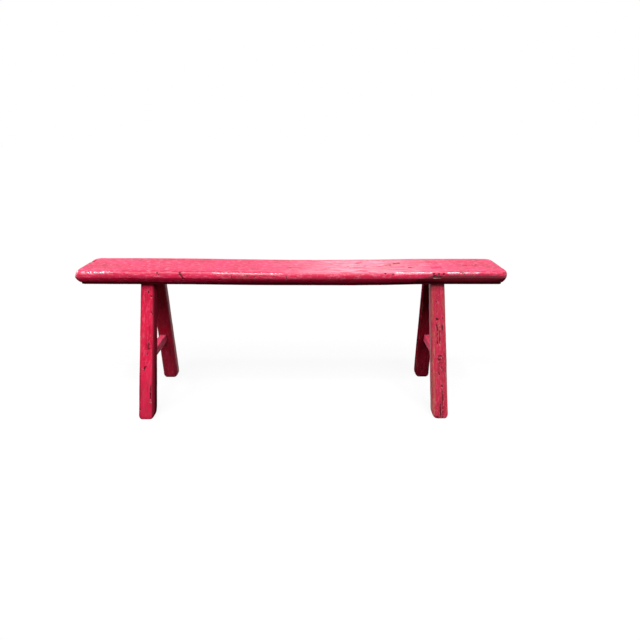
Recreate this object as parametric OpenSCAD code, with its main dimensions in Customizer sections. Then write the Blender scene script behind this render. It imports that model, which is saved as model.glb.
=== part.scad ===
// A long, slim country bench: one thick plank carried on four splayed legs.
// The legs pass through the plank as wedged through tenons, and one stretcher
// ties the two legs of each end together, also with wedged through tenons.
// X runs along the plank, -Y is the front and Z is up. The origin lies on the
// floor, under the middle of the plank.

/* [Seat plank] */
// Length of the plank
seat_l = 1402; // [1000:1:1800]
// Width of the plank
seat_w = 182; // [170:1:240]
// Thickness of the plank
seat_t = 46; // [43:1:60]
// Height of the sitting surface above the floor
seat_h = 500; // [420:1:560]
// Radius of the plank's corners seen from above
corner_r = 28; // [22:1:40]
// Radius of the upper arris of the plank's edge
edge_top_r = 13; // [6:0.5:16]
// Height of the upright band between the edge's two rounds
edge_band = 7; // [2:0.5:8]
// Radius of the lower round of the plank's edge
edge_low_r = 18; // [14:0.5:20]
// How far below the sitting surface the round edge ends, at the ledge
ledge_depth = 37; // [32:0.5:40]
// How far the plank's foot is set in from its outline, below the ledge
ledge_inset = 15; // [13:0.5:20]

/* [Legs] */
// From the plank's end to a leg's middle, at the plank's underside
leg_end_inset = 224; // [150:1:300]
// From the plank's long edge to a leg's middle, at the plank's underside
leg_side_inset = 45; // [42:0.5:50]
// Lean of the legs towards the bench's ends, in degrees
end_splay = 3.35; // [0:0.05:8]
// Lean of the legs towards the front and the back, in degrees
side_splay = 13.2; // [8:0.1:18]
// Width of a leg at its shoulder, along the bench
leg_top_w = 48; // [42:0.5:60]
// Width of a leg at the floor, along the bench
leg_foot_w = 56; // [46:0.5:70]
// Depth of a leg, across the bench
leg_d = 38; // [34:0.5:44]
// Radius of a leg's arrises
leg_arris_r = 7; // [3:0.5:10]
// Height of the worn bevel round a foot
foot_bevel_h = 9; // [2:0.5:15]
// How far the worn bevel round a foot cuts in
foot_bevel_in = 4; // [1:0.5:8]

/* [Stretchers] */
// Height of a stretcher's middle above the floor
stretcher_z = 194; // [120:1:300]
// Thickness of a stretcher, along the bench
stretcher_w = 24; // [22:0.5:32]
// Height of a stretcher's section
stretcher_h = 28; // [26:0.5:40]
// How far a stretcher lies outside the middle of its legs
stretcher_out = 4.5; // [0:0.5:7]
// Radius of a stretcher's arrises
stretcher_arris_r = 2.5; // [1:0.5:5]

/* [Joints] */
// Width of a leg's tenon, along the bench
leg_tenon_w = 36; // [28:0.5:38]
// Depth of a leg's tenon, across the bench
leg_tenon_d = 26; // [20:0.5:28]
// Thickness of a stretcher's tenon, along the bench
stretcher_tenon_w = 18; // [12:0.5:20]
// Height of a stretcher's tenon
stretcher_tenon_h = 24; // [18:0.5:25]
// Thickness of a leg's wedge at the sitting surface
leg_wedge_t = 5; // [3:0.5:7]
// Length of a leg's wedge, along the tenon
leg_wedge_l = 34; // [20:1:38]
// Thickness of a stretcher's wedge at the leg's outer face
stretcher_wedge_t = 4; // [3:0.5:6]
// Length of a stretcher's wedge, along the tenon
stretcher_wedge_l = 28; // [18:1:32]
// Thickness of every wedge at its thin end
wedge_tip_t = 1.2; // [0.8:0.1:2]
// Gap round a tenon in its mortise and round a wedge in its slot
fit_gap = 0.15; // [0.05:0.05:0.4]

/* [Hidden] */

// Sides of the bench, as the signs of X and of Y
LEFT = -1;
RIGHT = 1;
FRONT = -1;
BACK = 1;

// Segments of a full circle, on the plank's true arcs and on the legs' arrises
$fn = 96;
arris_fn = 32;

// Thickness of the end slices that a leg is stretched between
slice_h = 0.02;
// How far a tool or a tenon reaches past the face that cuts it
reach = 10;

paint = "#d8284e";
rail_paint = "#b8233f";
wedge_paint = "#94203a";

// The plank's underside, where the legs' shoulders bear
under_z = seat_h - seat_t;
// A leg's middle, width and faces at a height z, for the leg at the right and the back
leg_top_x = seat_l / 2 - leg_end_inset;
leg_top_y = seat_w / 2 - leg_side_inset;
function leg_x(z) = leg_top_x + (under_z - z) * tan(end_splay);
function leg_y(z) = leg_top_y + (under_z - z) * tan(side_splay);
function leg_w(z) = leg_foot_w + (leg_top_w - leg_foot_w) * z / under_z;
function inner_face(z) = leg_y(z) - leg_d / 2;
function outer_face(z) = leg_y(z) + leg_d / 2;
stretcher_x = leg_x(stretcher_z) + stretcher_out;
// The two turns that lay the upright axis along a leg
turn_y = -end_splay;
turn_x = atan(tan(side_splay) * cos(end_splay));
// Length of the leg's axis inside the plank
tenon_l = seat_t / (cos(turn_x) * cos(turn_y));

// Moves what is drawn for the right back corner to another corner
module at_corner(side_x, side_y) {
    mirror([side_x < 0 ? 1 : 0, 0, 0]) mirror([0, side_y < 0 ? 1 : 0, 0]) children();
}

// Lays what is drawn upright at the origin along a leg's axis, from the plank's underside
module along_leg() {
    translate([leg_top_x, leg_top_y, under_z]) rotate([turn_x, turn_y, 0]) children();
}

// The layer of space that the plank's thickness fills, reaching drop below it
module plank_layer(drop) {
    translate([-seat_l, -seat_w, under_z - drop]) cube([2 * seat_l, 2 * seat_w, seat_t + drop]);
}

// A rectangle with round corners, about the origin
module rounded_section(w, h, r) {
    square([w - 2 * r, h], center = true);
    square([w, h - 2 * r], center = true);
    for (x = [-1, 1], y = [-1, 1])
        translate([x * (w / 2 - r), y * (h / 2 - r)]) circle(r = r);
}

// The plank's edge in section: X runs outwards from a corner's centre, Y is the height
module edge_section() {
    low_centre_z = seat_h - edge_top_r - edge_band;
    translate([0, under_z]) square([corner_r - ledge_inset, seat_t]);
    intersection() {
        translate([0, seat_h - ledge_depth]) square([corner_r, ledge_depth]);
        union() {
            translate([0, under_z]) square([corner_r - edge_low_r, seat_t]);
            translate([0, seat_h - edge_top_r]) square([corner_r - edge_top_r, edge_top_r]);
            translate([corner_r - edge_top_r, seat_h - edge_top_r]) circle(r = edge_top_r);
            translate([0, low_centre_z]) square([corner_r, edge_band]);
            translate([corner_r - edge_low_r, low_centre_z]) circle(r = edge_low_r);
        }
    }
}

// The plank before its mortises are cut
module plank_blank() {
    inner_l = seat_l - 2 * corner_r;
    inner_w = seat_w - 2 * corner_r;
    translate([-inner_l / 2, -inner_w / 2, under_z]) cube([inner_l, inner_w, seat_t]);
    for (side = [0, 180]) rotate([0, 0, side]) {
        translate([inner_l / 2, 0, 0])
            rotate([90, 0, 0]) linear_extrude(inner_w, center = true) edge_section();
        translate([0, inner_w / 2, 0])
            rotate([90, 0, 90]) linear_extrude(inner_l, center = true) edge_section();
    }
    for (x = [LEFT, RIGHT], y = [FRONT, BACK])
        at_corner(x, y) translate([inner_l / 2, inner_w / 2, 0])
            rotate_extrude(angle = 90) edge_section();
}

// A leg's tenon, grown by a gap on each side, reaching past both faces of the plank
module leg_tenon_block(gap) {
    translate([0, 0, tenon_l / 2])
        cube([leg_tenon_w + 2 * gap, leg_tenon_d + 2 * gap, tenon_l + 2 * reach], center = true);
}

// A leg's wedge, grown by a gap on each side, reaching past the sitting surface
module leg_wedge_block(gap) {
    tip_z = tenon_l - leg_wedge_l - gap;
    tip_x = wedge_tip_t / 2 + gap;
    head_x = leg_wedge_t / 2 + gap;
    head_z = tenon_l + reach;
    rotate([90, 0, 0]) linear_extrude(leg_tenon_d + 2 * gap, center = true)
        polygon([[-tip_x, tip_z], [tip_x, tip_z], [head_x, tenon_l],
                 [head_x, head_z], [-head_x, head_z], [-head_x, tenon_l]]);
}

// Draws an outline in Y and Z across the bench at a stretcher, as thick as w along X
module at_stretcher(w) {
    translate([stretcher_x, 0, 0]) rotate([90, 0, 90]) linear_extrude(w, center = true) children();
}

// A stretcher's wedge from the side, grown by a gap, reaching past the leg's outer face
module stretcher_wedge_side(gap) {
    tip_y = outer_face(stretcher_z) - stretcher_wedge_l - gap;
    tip_z = wedge_tip_t / 2 + gap;
    head_z = stretcher_wedge_t / 2 + gap;
    head_y = outer_face(stretcher_z + head_z);
    end_y = head_y + reach;
    translate([0, stretcher_z])
        polygon([[tip_y, -tip_z], [head_y, -head_z], [end_y, -head_z],
                 [end_y, head_z], [head_y, head_z], [tip_y, tip_z]]);
}

// One thin slice across a leg at a height z, drawn in by inset
module leg_slice(z, inset) {
    for (x = [-1, 1], y = [-1, 1])
        translate([leg_x(z) + x * (leg_w(z) / 2 - leg_arris_r - inset),
                   leg_y(z) + y * (leg_d / 2 - leg_arris_r - inset), z])
            cylinder(r = leg_arris_r, h = slice_h, $fn = arris_fn);
}

// The shaft of the right back leg, from the floor to its shoulder under the plank
module leg_shaft() {
    hull() {
        leg_slice(0, foot_bevel_in);
        leg_slice(foot_bevel_h, 0);
        leg_slice(under_z - slice_h, 0);
    }
}

module seat_plank() {
    color(paint) difference() {
        plank_blank();
        for (x = [LEFT, RIGHT], y = [FRONT, BACK])
            at_corner(x, y) along_leg() leg_tenon_block(fit_gap);
    }
}

module leg(side_x, side_y) {
    mortise = [stretcher_tenon_w + 2 * fit_gap, 2 * leg_d, stretcher_tenon_h + 2 * fit_gap];
    color(paint) at_corner(side_x, side_y) difference() {
        union() {
            leg_shaft();
            intersection() {
                along_leg() leg_tenon_block(0);
                plank_layer(reach / 2);
            }
        }
        along_leg() leg_wedge_block(fit_gap);
        translate([stretcher_x, leg_y(stretcher_z), stretcher_z]) cube(mortise, center = true);
    }
}

module leg_wedge(side_x, side_y) {
    color(wedge_paint) at_corner(side_x, side_y) intersection() {
        along_leg() leg_wedge_block(0);
        plank_layer(0);
    }
}

module stretcher(side_x) {
    low = stretcher_z - stretcher_h / 2;
    high = stretcher_z + stretcher_h / 2;
    tenon_low = stretcher_z - stretcher_tenon_h / 2;
    tenon_high = stretcher_z + stretcher_tenon_h / 2;
    color(rail_paint) at_corner(side_x, BACK) difference() {
        union() {
            intersection() {
                at_stretcher(stretcher_w)
                    polygon([[-inner_face(low), low], [inner_face(low), low],
                             [inner_face(high), high], [-inner_face(high), high]]);
                translate([stretcher_x, 0, stretcher_z])
                    rotate([90, 0, 0]) linear_extrude(2 * leg_y(0), center = true)
                        rounded_section(stretcher_w, stretcher_h, stretcher_arris_r);
            }
            at_stretcher(stretcher_tenon_w)
                polygon([[-outer_face(tenon_low), tenon_low], [outer_face(tenon_low), tenon_low],
                         [outer_face(tenon_high), tenon_high], [-outer_face(tenon_high), tenon_high]]);
        }
        for (y = [FRONT, BACK]) at_corner(RIGHT, y)
            at_stretcher(stretcher_tenon_w + 2 * fit_gap) stretcher_wedge_side(fit_gap);
    }
}

module stretcher_wedge(side_x, side_y) {
    color(wedge_paint) at_corner(side_x, side_y) at_stretcher(stretcher_tenon_w) intersection() {
        stretcher_wedge_side(0);
        polygon([[0, 0], [outer_face(0), 0], [outer_face(under_z), under_z], [0, under_z]]);
    }
}

seat_plank();
leg(LEFT, FRONT);  // leg_front_left
leg(RIGHT, FRONT);  // leg_front_right
leg(LEFT, BACK);  // leg_back_left
leg(RIGHT, BACK);  // leg_back_right
stretcher(LEFT);  // stretcher_left
stretcher(RIGHT);  // stretcher_right
leg_wedge(LEFT, FRONT);  // leg_wedge_front_left
leg_wedge(RIGHT, FRONT);  // leg_wedge_front_right
leg_wedge(LEFT, BACK);  // leg_wedge_back_left
leg_wedge(RIGHT, BACK);  // leg_wedge_back_right
stretcher_wedge(LEFT, FRONT);  // stretcher_wedge_front_left
stretcher_wedge(RIGHT, FRONT);  // stretcher_wedge_front_right
stretcher_wedge(LEFT, BACK);  // stretcher_wedge_back_left
stretcher_wedge(RIGHT, BACK);  // stretcher_wedge_back_right
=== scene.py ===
"""The looks of a slim country bench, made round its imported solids.

Every solid is stood for by a denser mesh of the same size that is sagged, worn, chipped and painted
the way the real bench is. Lengths are in metres. X runs along the bench, -Y is its front, Z is up.
"""
import math
from collections import namedtuple
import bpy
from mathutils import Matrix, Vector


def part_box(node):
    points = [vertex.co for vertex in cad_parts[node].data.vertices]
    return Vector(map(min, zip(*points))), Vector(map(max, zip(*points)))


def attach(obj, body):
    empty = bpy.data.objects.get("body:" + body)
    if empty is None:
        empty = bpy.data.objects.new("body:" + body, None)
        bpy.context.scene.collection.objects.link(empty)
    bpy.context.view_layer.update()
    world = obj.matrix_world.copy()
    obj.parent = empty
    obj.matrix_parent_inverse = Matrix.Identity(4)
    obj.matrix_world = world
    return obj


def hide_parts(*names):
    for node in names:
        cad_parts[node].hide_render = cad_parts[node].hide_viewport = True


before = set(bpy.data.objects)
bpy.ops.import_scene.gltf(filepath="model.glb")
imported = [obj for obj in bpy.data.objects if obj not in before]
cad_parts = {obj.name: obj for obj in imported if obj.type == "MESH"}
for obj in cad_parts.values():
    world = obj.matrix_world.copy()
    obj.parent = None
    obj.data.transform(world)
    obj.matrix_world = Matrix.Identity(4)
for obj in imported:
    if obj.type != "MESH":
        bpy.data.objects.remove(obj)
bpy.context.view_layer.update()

from types import SimpleNamespace

import bpy
import numpy as np
from mathutils import Euler, Matrix, Vector

MM = 0.001
BODY = "root"
SIGN = {"left": -1, "right": 1, "front": -1, "back": 1}
CORNERS = [(depth, side) for side in ("left", "right") for depth in ("front", "back")]
LEG_SEEDS = {corner: 20 + 10 * index for index, corner in enumerate(CORNERS)}

# The plank, from the frame, and the sizes of its edge
SEAT_LOW, SEAT_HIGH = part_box("seat_plank")
SEAT_L = SEAT_HIGH.x - SEAT_LOW.x
SEAT_W = SEAT_HIGH.y - SEAT_LOW.y
SEAT_TOP = SEAT_HIGH.z
UNDER = SEAT_LOW.z
CORNER_R = 28 * MM
EDGE_TOP_H = 18 * MM
EDGE_TOP_IN = 10 * MM
EDGE_LOW_IN = 9.5 * MM
EDGE_LOW_BEND = 1.78
LEDGE_DEPTH = 38 * MM
LEDGE_INSET = 15 * MM
# How far its left end stands out at these depths below the top
END_DEPTHS = (2 * MM, 10 * MM, 17 * MM, 25 * MM)
END_SWELLS = (0, 2.6 * MM, 3 * MM, 7.8 * MM)
END_SWELL_L = 30 * MM
# How far the rim of its underside hangs down outside the legs, from its left to its right
RIM_X = (50 * MM, 200 * MM, 300 * MM, 440 * MM)
RIM_DROPS = (1.3 * MM, 2.7 * MM, 2.4 * MM, 0)
# How far below the top its paint changes to the edge's, and below the nose to the underside's darker
# paint, which is painted shade
TOP_PAINT_H = 1.3 * MM
NOSE_PAINT_H = 3.5 * MM

# The legs
LEG_TOP_X = SEAT_L / 2 - 224 * MM
LEG_TOP_Y = SEAT_W / 2 - 45 * MM
END_SPLAY = math.radians(3.35)
SIDE_SPLAY = math.radians(13.2)
LEG_TOP_W = 48 * MM
LEG_FOOT_W = 56 * MM
LEG_D = 38 * MM
LEG_ARRIS_R = 10.5 * MM
FOOT_ROUND_H = 14 * MM
FOOT_ROUND_IN = 3 * MM
# How far each foot's outer and inner side draws in, and over what height
FOOT_OUTER = (7 * MM, 15 * MM)
FOOT_INNER = (11 * MM, 28 * MM)

# The stretchers
STRETCHER_Z = 194 * MM
STRETCHER_W = 24 * MM
STRETCHER_H = 28 * MM
STRETCHER_OUT = 4.5 * MM
STRETCHER_ARRIS_R = 2.5 * MM

# The joints: tenons, their wedges, and how far their ends stand proud of the worn surface
LEG_TENON_W = 36 * MM
LEG_TENON_D = 26 * MM
STRETCHER_TENON_W = 18 * MM
STRETCHER_TENON_H = 24 * MM
LEG_WEDGE_T = 5 * MM
LEG_WEDGE_L = 34 * MM
STRETCHER_WEDGE_T = 4 * MM
STRETCHER_WEDGE_L = 28 * MM
WEDGE_TIP_T = 1.2 * MM
WEDGE_ARRIS_R = 0.4 * MM
END_ARRIS_R = 1 * MM
FIT_GAP = 0.15 * MM
TENON_PROUD = 0.3 * MM
WEDGE_PROUD = 0.5 * MM
TENON_ROOT = 6 * MM
CUT_PAST = 10 * MM
# How far inside the leg's first outer face a stretcher's tenon ends
TENON_SHORT = 0.5 * MM

# The plank's wear: how far it sags between the legs, and the hollow that sitters have worn
SAG = 3.4 * MM
HOLLOW = 1.8 * MM
HOLLOW_X = 150 * MM
HOLLOW_SPREAD = 260 * MM
# How deep the front face is worn away at its right, from where to where, over what lengths it fades
# in and out, and how fully it is worn at these depths below the top
UNDERCUT = 2.6 * MM
UNDERCUT_X = (430 * MM, 690 * MM)
UNDERCUT_FADES = (60 * MM, 40 * MM)
UNDERCUT_DEPTHS = (6 * MM, 20 * MM, 25 * MM, 36 * MM)
UNDERCUT_SHARES = (0, 1, 1, 0)
# How far wear reaches from the plank's arrises and from the legs'
SEAT_ARRIS_REACH = 12 * MM
LEG_ARRIS_REACH = 9 * MM
# Where the top's paint is palest, how far that reaches, and how far down the edge
FADED_X = 225 * MM
FADED_SPREAD = 200 * MM
FADED_H = 3 * MM
# Painted shade on the plank's front where it turns under: how dark it is at these depths below the top,
# less at its left
LOW_SHADE_DEPTHS = (12 * MM, 18 * MM, 24 * MM, 38 * MM)
LOW_SHADE_SHARES = (0, 0.3, 0.48, 0.48)
LOW_SHADE_X = (-350 * MM, -150 * MM)
LEFT_LOW_SHADE = 0.15
# Painted shade on the left front leg: how dark it is at these heights
LEG_LOW_SHADE_Z = (0, 8 * MM, 120 * MM, 260 * MM)
LEG_LOW_SHADE = (0.6, 0.42, 0.34, 0)

# How closely the meshes' vertices lie, and the angle from which an edge is drawn sharp
SEAT_PITCH_X = 4.5 * MM
SEAT_PITCH_Y = 2.2 * MM
SEAT_FINE_PITCH = 1.5 * MM
SEAT_ARC_STEPS = 14
SEAT_UPPER_RINGS = 16
SEAT_LOWER_RINGS = 15
STRETCHER_ARC_STEPS = 2
BAR_PITCH = 2.2 * MM
END_PITCH = 2 * MM
SHARP_ANGLE = math.radians(32)

# A damaged place runs from start to end. Reach is its half size along X, Y and Z, and depth how
# deep it goes. All are in millimetres.
Mark = namedtuple("Mark", "start end reach depth")


def chip(x, y, z, across, high, depth):
    """A place where paint and some wood have come off."""
    return Mark((x, y, z), (x, y, z), (across, 14, high), depth)


def crack(start, end, half_width, depth):
    """A narrow split from one point to another, in a front face."""
    return Mark(start, end, (half_width, 14, half_width), depth)


def top_crack(start, end, half_width, depth):
    """A narrow split from one point to another, in the top."""
    return Mark(start, end, (half_width, 2.5 * half_width, 8), depth)


def band(start, end, reach):
    """A stretch of the surface that looks different without being any deeper."""
    return Mark(start, end, reach, 0)


# What is broken on the plank: the front edge from the left, its left end, then the top
SEAT_CHIPS = [
    chip(-434, -91, 494, 4, 4, 1.6),
    chip(-430, -91, 488, 2.5, 3, 1.2),
    chip(-364, -91, 496, 6, 3, 1.6),
    crack((-362, -91, 491), (-352, -91, 478), 3, 2.6),
    chip(-237, -91, 473, 4, 3, 1.8),
    crack((-198, -91, 490), (-196, -91, 478), 1.5, 1.4),
    chip(-180, -91, 488, 2.4, 2, 1),
    chip(-163, -91, 484, 3, 2, 1),
    chip(-147, -91, 488, 2, 2, 1),
    chip(-124, -91, 485, 2.4, 2, 1),
    chip(-60, -91, 487, 2.6, 2, 1),
    crack((-22, -91, 488), (-20, -91, 478), 1.5, 1.2),
    chip(8, -91, 486, 2.4, 2, 1),
    chip(56, -91, 468, 6, 3, 1.6),
    chip(297, -91, 494, 4, 3, 1.8),
    chip(323, -91, 490, 3, 4, 1.4),
    chip(455, -91, 492, 4, 5, 2.2),
    chip(471, -91, 492, 4, 5, 2.4),
    chip(487, -91, 492, 4, 5, 2.2),
    crack((537, -92, 486), (538, -91, 493), 1.6, 1.2),
    crack((538, -91, 493), (545, -90, 497), 1.6, 1.2),
    crack((545, -90, 497), (552, -91, 494), 1.6, 1.2),
    crack((552, -91, 494), (555, -92, 488), 1.6, 1.2),
    top_crack((-704, 32, 498), (-686, 37, 500), 5, 4),
    top_crack((311, 1, 499), (329, 3, 499), 2, 1.2),
    top_crack((340, 20, 499), (363, 25, 499), 2, 1.2),
    top_crack((381, -35, 500), (391, -34, 500), 2, 1.2),
    top_crack((569, -8, 500), (583, -7, 500), 1.6, 1),
    top_crack((603, -5, 500), (618, -3, 500), 1.6, 1),
]
# Where wood is torn out of its front edge, under the right front leg's tenon
SEAT_GOUGES = [
    crack((454, -92, 484.5), (480, -92, 485), 3.2, 4.5),
    crack((456, -92, 479.5), (478, -92, 479.5), 2.8, 2.2),
]
# Where its paint has rubbed thin, and where pale wood has flaked up under the gouge
SEAT_RUBS = [
    band((-212, -91, 482), (-140, -91, 480), (24, 12, 7)),
    band((280, -60, 500), (350, 20, 500), (50, 34, 8)),
    band((458, -92, 478), (480, -92, 478), (7, 9, 5)),
]
# Where the plank is darker: round the gouge, and along the lower round to its right
SEAT_DARK_PATCHES = [
    band((425, -84, 466), (650, -84, 468), (38, 22, 15)),
    band((440, -91, 476), (500, -91, 480), (26, 12, 16)),
    band((490, -91, 480), (690, -88, 480), (30, 16, 19)),
]
# Where its front arris is polished
SEAT_POLISH = [
    band((-672, -86, 499), (-590, -86, 499), (26, 16, 14)),
    band((-240, -86, 498), (-56, -86, 498), (28, 12, 12)),
    band((345, -86, 498), (440, -86, 498), (22, 12, 12)),
    band((510, -86, 498), (590, -86, 498), (22, 12, 12)),
]
# Where its thick paint has pulled into lumps
SEAT_LUMPS = [
    band((-672, -86, 497), (-596, -86, 497), (30, 22, 14)),
    band((-560, -91, 488), (-440, -91, 488), (40, 20, 14)),
]

# What is broken on each leg
LEG_CHIPS = {
    ("front", "left"): [
        chip(-476, -72, 424, 2.5, 5, 1.4),
        chip(-467, -75, 411, 4, 5, 1.8),
        chip(-467, -88, 356, 2.5, 9, 1.4),
        crack((-482, -108, 262), (-484, -116, 236), 2, 1.2),
        chip(-490, -120, 222, 3, 5, 1.6),
        crack((-495, -128, 186), (-503, -132, 168), 2.4, 1.4),
        crack((-484, -141, 118), (-485, -158, 60), 1.2, 1),
        chip(-525, -164, 36, 4, 7, 2.4),
    ],
    ("front", "right"): [
        chip(475, -79, 393, 3, 4, 1.4),
        chip(480, -93, 337, 5, 4, 1.8),
        crack((478, -96, 330), (483, -112, 255), 1.5, 1.4),
        crack((488, -98, 320), (491, -114, 248), 1.4, 1.2),
        crack((497, -84, 400), (498, -102, 300), 1.2, 1),
        crack((487, -123, 205), (490, -123, 216), 1.9, 1.4),
        crack((490, -123, 214), (500, -123, 215), 2, 1.4),
        crack((500, -123, 214), (504, -128, 188), 2, 1.4),
        crack((488, -126, 203), (500, -128, 200), 1.9, 1.2),
        crack((492, -126, 196), (494, -130, 178), 1.8, 1.2),
        crack((498, -133, 178), (505, -133, 164), 2, 1.2),
        crack((490, -130, 162), (494, -133, 152), 1.9, 1.2),
        chip(504, -145, 113, 3.5, 5, 2),
        crack((506, -147, 96), (511, -172, 2), 1.8, 2),
        crack((501, -158, 50), (503, -172, 2), 1.4, 1.4),
        chip(492, -171, 4, 4, 6, 1.4),
    ],
    ("back", "left"): [chip(-470, 95, 320, 4, 7, 1.8), chip(-503, 165, 20, 6, 5, 2)],
    ("back", "right"): [chip(486, 100, 300, 4, 6, 1.8), chip(492, 160, 26, 6, 5, 2)],
}
# Where paint has rubbed thin on each leg
LEG_RUBS = {
    ("front", "left"): [
        band((-508, -172, 0), (-486, -172, 0), (10, 12, 5)),
        band((-474, -164, 14), (-474, -168, 2), (8, 12, 9)),
    ],
    ("front", "right"): [
        band((474, -120, 190), (479, -168, 20), (7, 9, 12)),
        band((470, -88, 400), (474, -118, 200), (5, 9, 12)),
        band((484, -96, 325), (490, -112, 250), (8, 8, 14)),
    ],
    ("back", "left"): [band((-476, 145, 0), (-476, 165, 0), (9, 9, 12))],
    ("back", "right"): [band((478, 145, 0), (478, 165, 0), (9, 9, 12))],
}


def leg_x(z):
    """The middle of a right-hand leg along X at a height z."""
    return LEG_TOP_X + (UNDER - z) * math.tan(END_SPLAY)


def leg_y(z):
    """The middle of a back leg along Y at a height z."""
    return LEG_TOP_Y + (UNDER - z) * math.tan(SIDE_SPLAY)


def leg_w(z):
    """A leg's width along X at a height z."""
    return LEG_FOOT_W + (LEG_TOP_W - LEG_FOOT_W) * z / UNDER


STRETCHER_X = leg_x(STRETCHER_Z) + STRETCHER_OUT


def unit(numbers):
    """Numbers held between 0 and 1."""
    return np.clip(numbers, 0, 1)


def lattice(cells, seed):
    """A repeatable number from -1 to 1 for every cell of a grid."""
    mixed = cells @ np.array([374761393, 668265263, 1103515245]) + seed * 97531
    mixed &= 0xFFFFFFFF
    mixed = ((mixed ^ (mixed >> 13)) * 1274126177) & 0xFFFFFFFF
    return ((mixed ^ (mixed >> 16)) & 0xFFFF) / 32767.5 - 1


def noise(points, size, seed):
    """Smooth noise from -1 to 1 whose lumps have that size in millimetres along each axis."""
    scaled = points / (np.array(size, float) * MM)
    cell = np.floor(scaled).astype(np.int64)
    part = scaled - cell
    ease = part * part * (3 - 2 * part)
    total = np.zeros(len(points))
    for corner in np.ndindex(2, 2, 2):
        step = np.array(corner)
        weight = np.prod(np.where(step == 1, ease, 1 - ease), axis=1)
        total += weight * lattice(cell + step, seed)
    return total


def uneven(points, seed, *layers):
    """Noises of these (strength, size)s in millimetres, added up."""
    noises = [strength * MM * noise(points, size, seed + k) for k, (strength, size) in enumerate(layers)]
    return sum(noises)


def arris_wear(points, arris, seed, strength, size, nick_size):
    """How far arrises are worn away: unevenly, and nicked here and there."""
    nicks = unit(noise(points, nick_size, seed + 1) - 0.35)
    return MM * arris * (strength * noise(points, size, seed) + 0.9 * nicks)


def inside(points, mark, seed, ragged, sharp):
    """How fully a mark covers each point, from 0 at its ragged rim to 1."""
    start, end = np.array(mark.start) * MM, np.array(mark.end) * MM
    along = end - start
    share = unit((points - start) @ along / (along @ along or 1))
    nearest = start + share[:, None] * along
    distance = np.linalg.norm((points - nearest) / (np.array(mark.reach) * MM), axis=1)
    if ragged:
        distance += ragged * noise(points, (5, 5, 5), seed)
    return unit((1 - distance) * sharp)


def covered(points, marks, ragged=0.5, sharp=2.6, weight=lambda mark: 1):
    """How fully any of the marks covers each point, from 0 to a mark's weight."""
    most = np.zeros(len(points))
    for seed, mark in enumerate(marks):
        most = np.maximum(most, inside(points, mark, seed, ragged, sharp) * weight(mark))
    return most


def dug(points, marks, ragged=0.5, sharp=2.6):
    """How deep the marks go at each point."""
    return covered(points, marks, ragged, sharp, lambda mark: mark.depth * MM)


def sag(x):
    """How far the plank hangs below a straight line at x."""
    between = np.abs(x) < LEG_TOP_X
    return SAG * np.where(between, np.cos(np.pi * x / (2 * LEG_TOP_X)) ** 2, 0)


def hollow(x):
    """How much sitters have worn off the top at x."""
    return HOLLOW * np.exp(-(((x - HOLLOW_X) / HOLLOW_SPREAD) ** 2))


# The height of the worn sitting surface over the legs
WORN_TOP = SEAT_TOP - sag(LEG_TOP_X) - hollow(LEG_TOP_X)


def spaced(low, high, pitch):
    """Even lines from low to high, about a pitch apart."""
    return np.linspace(low, high, max(2, round(abs(high - low) / pitch) + 1))


class Block:
    """A closed block with a grid on its two ends and rings of vertices round its sides.

    xs and ys are the lines of the end grids, and rings lists (reach, height) from the upper end to
    the lower one. Every ring runs at its reach outside the grid's outline, round its corners.
    """

    def __init__(self, xs, ys, arc_steps, rings):
        last_x, last_y = len(xs) - 1, len(ys) - 1
        walk = self.walk(last_x, last_y, arc_steps)
        ring_feet = np.array([(xs[i], ys[j]) for i, j, _ in walk])
        ring_out = np.array([(math.cos(a), math.sin(a)) for _, _, a in walk])
        grid = np.array([(x, y) for x in xs for y in ys])
        reaches, heights = zip(*rings)
        flat = np.zeros(len(grid))
        self.feet = np.concatenate([grid, *[ring_feet] * len(rings), grid])
        self.out = np.concatenate([grid * 0, *[ring_out] * len(rings), grid * 0])
        self.reach = np.concatenate([flat, np.repeat(reaches, len(walk)), flat])
        levels = np.repeat(heights, len(walk))
        self.height = np.concatenate([flat + heights[0], levels, flat + heights[-1]])
        low = len(grid) + len(levels)
        edge = np.array([i * (last_y + 1) + j for i, j, _ in walk])
        ring_rows = np.arange(len(grid), low).reshape(len(rings), -1)
        rows = [edge, *ring_rows, low + edge]
        self.faces = self.sides(rows) + self.ends(last_x, last_y, low)

    @staticmethod
    def walk(last_x, last_y, arc_steps):
        """The grid lines and outward angle of each vertex of a ring, anticlockwise from above."""
        quarter = math.pi / 2
        arc = [quarter * k / (arc_steps + 1) for k in range(1, arc_steps + 1)]
        sides = [
            [(i, 0) for i in range(last_x + 1)],
            [(last_x, j) for j in range(last_y + 1)],
            [(i, last_y) for i in range(last_x, -1, -1)],
            [(0, j) for j in range(last_y, -1, -1)],
        ]
        steps = []
        for turns, side in enumerate(sides):
            outward = quarter * (turns - 1)
            steps += [(i, j, outward) for i, j in side]
            steps += [(*side[-1], outward + a) for a in arc]
        return steps

    @staticmethod
    def sides(rows):
        """The faces between each row of vertices and the next one down."""
        faces = []
        for upper, lower in zip(rows, rows[1:]):
            for corners in zip(upper, lower, np.roll(lower, -1), np.roll(upper, -1)):
                face = list(dict.fromkeys(int(corner) for corner in corners))
                if len(face) > 2:
                    faces.append(face)
        return faces

    @staticmethod
    def ends(last_x, last_y, low):
        """The faces of the two end grids."""
        faces = []
        for i in range(last_x):
            for j in range(last_y):
                a = i * (last_y + 1) + j
                b = a + last_y + 1
                faces.append([a, b, b + 1, a + 1])
                faces.append([low + a, low + a + 1, low + b + 1, low + b])
        return faces

    def section(self, half_x=1, half_y=1, arris_r=0):
        """The vertices' coordinates across the block, its grid scaled to these half widths."""
        scale = np.stack(np.broadcast_arrays(half_x - arris_r, half_y - arris_r, self.height), 1)
        return self.feet * scale[:, :2] + self.out * self.reach[:, None]


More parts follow.
